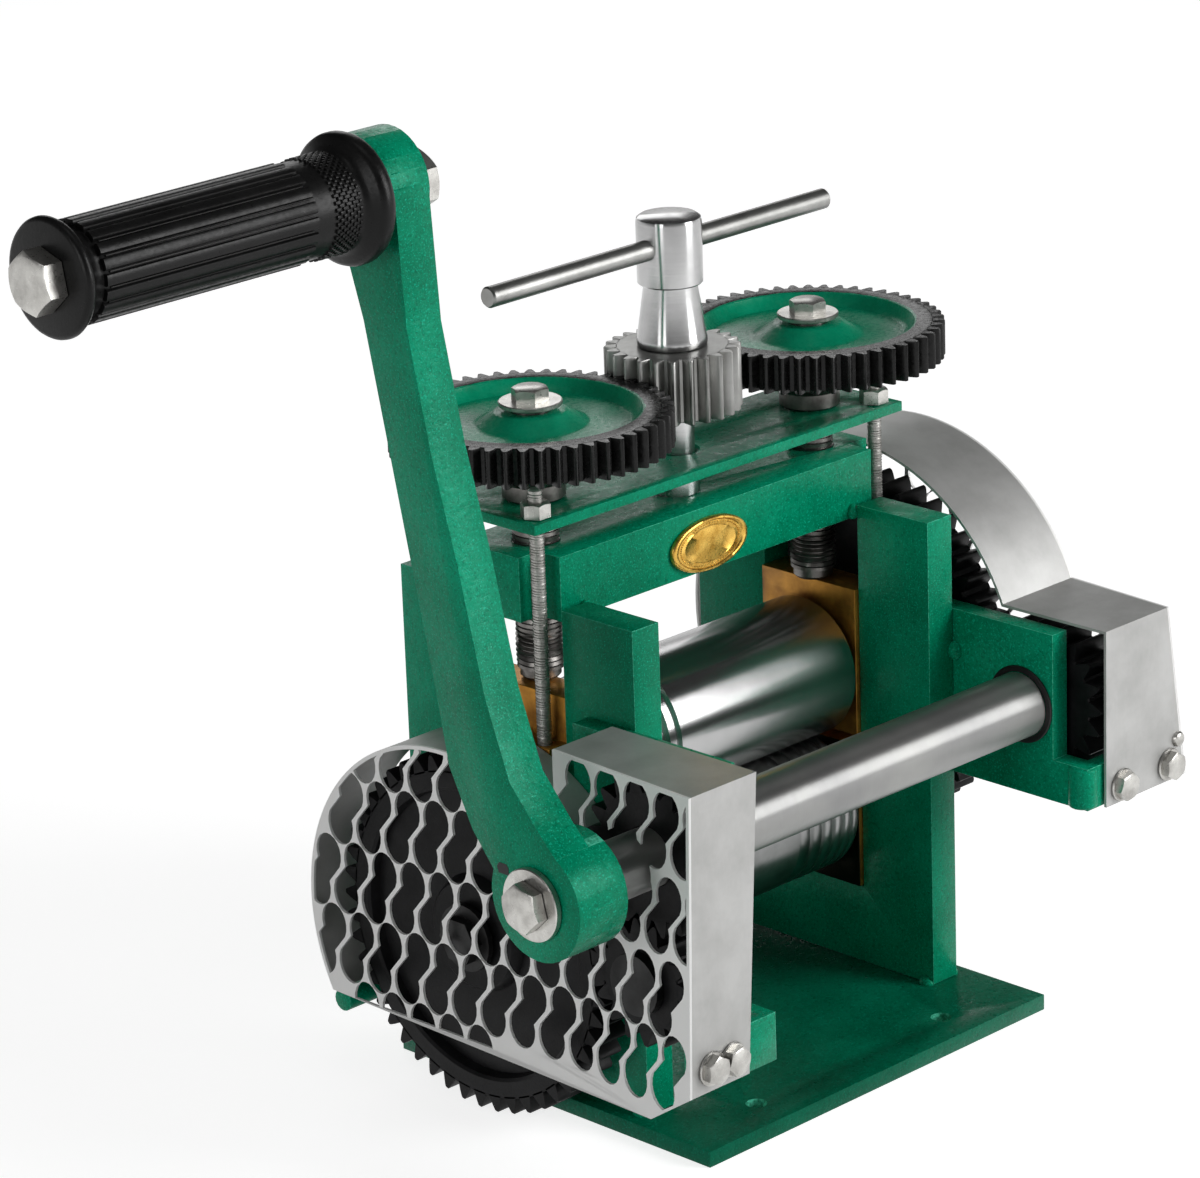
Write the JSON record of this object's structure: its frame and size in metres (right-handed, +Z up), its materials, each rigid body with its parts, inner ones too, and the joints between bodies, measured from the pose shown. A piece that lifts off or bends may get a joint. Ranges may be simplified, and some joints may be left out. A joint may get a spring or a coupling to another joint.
{
  "type": "jewellers rolling mill",
  "caption": "Hand cranked bench rolling mill: two steel rolls in a green welded frame, a geared screw gap setting, pierced gear guards and a crank with a turning grip.",
  "frame": {"origin": "under the base plate, midway between the side plates, below the rolls' axes", "axes": "+X along the rolls away from the crank, +Y away from the operator, +Z up"},
  "size_m": [0.3743, 0.177, 0.3175],
  "materials": {
    "green_paint": "gloss hammered green enamel",
    "gilt_plate": "bare gilt plate",
    "brass": "sawn brass",
    "polished_steel": "ground and polished",
    "black_gear": "black machined iron",
    "zinc": "bright zinc",
    "guard_sheet": "silver painted sheet",
    "black_rubber": "moulded rubber"
  },
  "bodies": {
    "frame": {"base_plate": "green_paint", "side_plate_left": "green_paint", "side_plate_right": "green_paint", "top_beam": "green_paint", "badge_plate": "gilt_plate", "shaft_arm_left": "green_paint", "shaft_arm_right": "green_paint", "lower_block_left": "brass", "lower_block_right": "brass", "idler_axle": "zinc", "guard_left": "guard_sheet", "guard_right": "guard_sheet", "guard_left_front": "guard_sheet", "guard_left_grille": "guard_sheet", "guard_right_grille": "guard_sheet", "guard_bolt_left_inner": "zinc", "guard_bolt_left_outer": "zinc", "guard_bolt_right_inner": "zinc", "guard_bolt_right_outer": "zinc"},
    "drive": {"drive_shaft": "polished_steel", "drive_pinion_left": "black_gear", "drive_pinion_right": "black_gear", "crank_arm": "green_paint", "crank_washer": "zinc", "crank_bolt": "zinc", "grip_bolt": "zinc", "grip_nut": "zinc"},
    "hand_grip": {"grip": "black_rubber"},
    "idler": {"idler_gear": "black_gear"},
    "lower_roll_set": {"lower_roll": "polished_steel", "lower_roll_gear": "black_gear", "lower_roll_bolt": "zinc"},
    "adjuster": {"spindle": "polished_steel", "t_bar": "polished_steel", "spindle_pinion": "polished_steel"},
    "carriage": {"lift_plate": "green_paint", "lift_stud_left": "zinc", "lift_stud_right": "zinc", "stud_nut_left": "zinc", "stud_nut_right": "zinc", "upper_block_left": "brass", "upper_block_right": "brass"},
    "screw_left": {"pressure_screw_left": "polished_steel", "screw_gear_left": "black_gear", "screw_gear_bolt_left": "zinc"},
    "screw_right": {"pressure_screw_right": "polished_steel", "screw_gear_right": "black_gear", "screw_gear_bolt_right": "zinc"},
    "upper_roll_set": {"upper_roll": "polished_steel", "roll_thrust_washer": "zinc"},
    "upper_gear_set": {"upper_roll_gear": "black_gear", "upper_roll_bolt": "zinc"}
  },
  "joints": [
    {"name": "drive_spin", "type": "hinge", "parent": "frame", "child": "drive", "pos_m": [0, -0.0765, 0.103], "axis": [1, 0, 0], "continuous": true},
    {"name": "grip_spin", "type": "hinge", "parent": "drive", "child": "hand_grip", "pos_m": [-0.197, -0.0205, 0.2987], "axis": [1, 0, 0], "continuous": true},
    {"name": "idler_spin", "type": "hinge", "parent": "frame", "child": "idler", "pos_m": [-0.0865, -0.07182, 0.06277], "axis": [1, 0, 0], "continuous": true},
    {"name": "lower_roll_spin", "type": "hinge", "parent": "frame", "child": "lower_roll_set", "pos_m": [0, 0, 0.0577], "axis": [1, 0, 0], "continuous": true},
    {"name": "spindle_turn", "type": "hinge", "parent": "frame", "child": "adjuster", "pos_m": [0, 0, 0.23], "axis": [0, 0, 1], "range_deg": [-2677.5, 0]},
    {"name": "carriage_lift", "type": "slide", "parent": "frame", "child": "carriage", "axis": [0, 0, 1], "range_m": [0, 0.007]},
    {"name": "screw_left_turn", "type": "hinge", "parent": "carriage", "child": "screw_left", "pos_m": [-0.06, 0, 0.19], "axis": [0, 0, 1], "range_deg": [0, 1260]},
    {"name": "screw_right_turn", "type": "hinge", "parent": "carriage", "child": "screw_right", "pos_m": [0.06, 0, 0.19], "axis": [0, 0, 1], "range_deg": [0, 1260]},
    {"name": "upper_roll_spin", "type": "hinge", "parent": "carriage", "child": "upper_roll_set", "pos_m": [0, 0, 0.103], "axis": [1, 0, 0], "continuous": true},
    {"name": "gear_follow", "type": "hinge", "parent": "upper_roll_set", "child": "upper_gear_set", "pos_m": [0.086, 0, 0.103], "axis": [1, 0, 0], "range_deg": [0, 7.43]}
  ],
  "couplings": [
    {"joint": "idler_spin", "follows": "drive_spin", "ratio": -1.25},
    {"joint": "lower_roll_spin", "follows": "drive_spin", "ratio": 0.41667},
    {"joint": "upper_roll_spin", "follows": "drive_spin", "ratio": -0.41667},
    {"joint": "carriage_lift", "follows": "spindle_turn", "m_per_rad": -0.00014979},
    {"joint": "screw_left_turn", "follows": "spindle_turn", "ratio": -0.47059},
    {"joint": "screw_right_turn", "follows": "spindle_turn", "ratio": -0.47059},
    {"joint": "gear_follow", "follows": "spindle_turn", "ratio": -0.0027739}
  ]
}
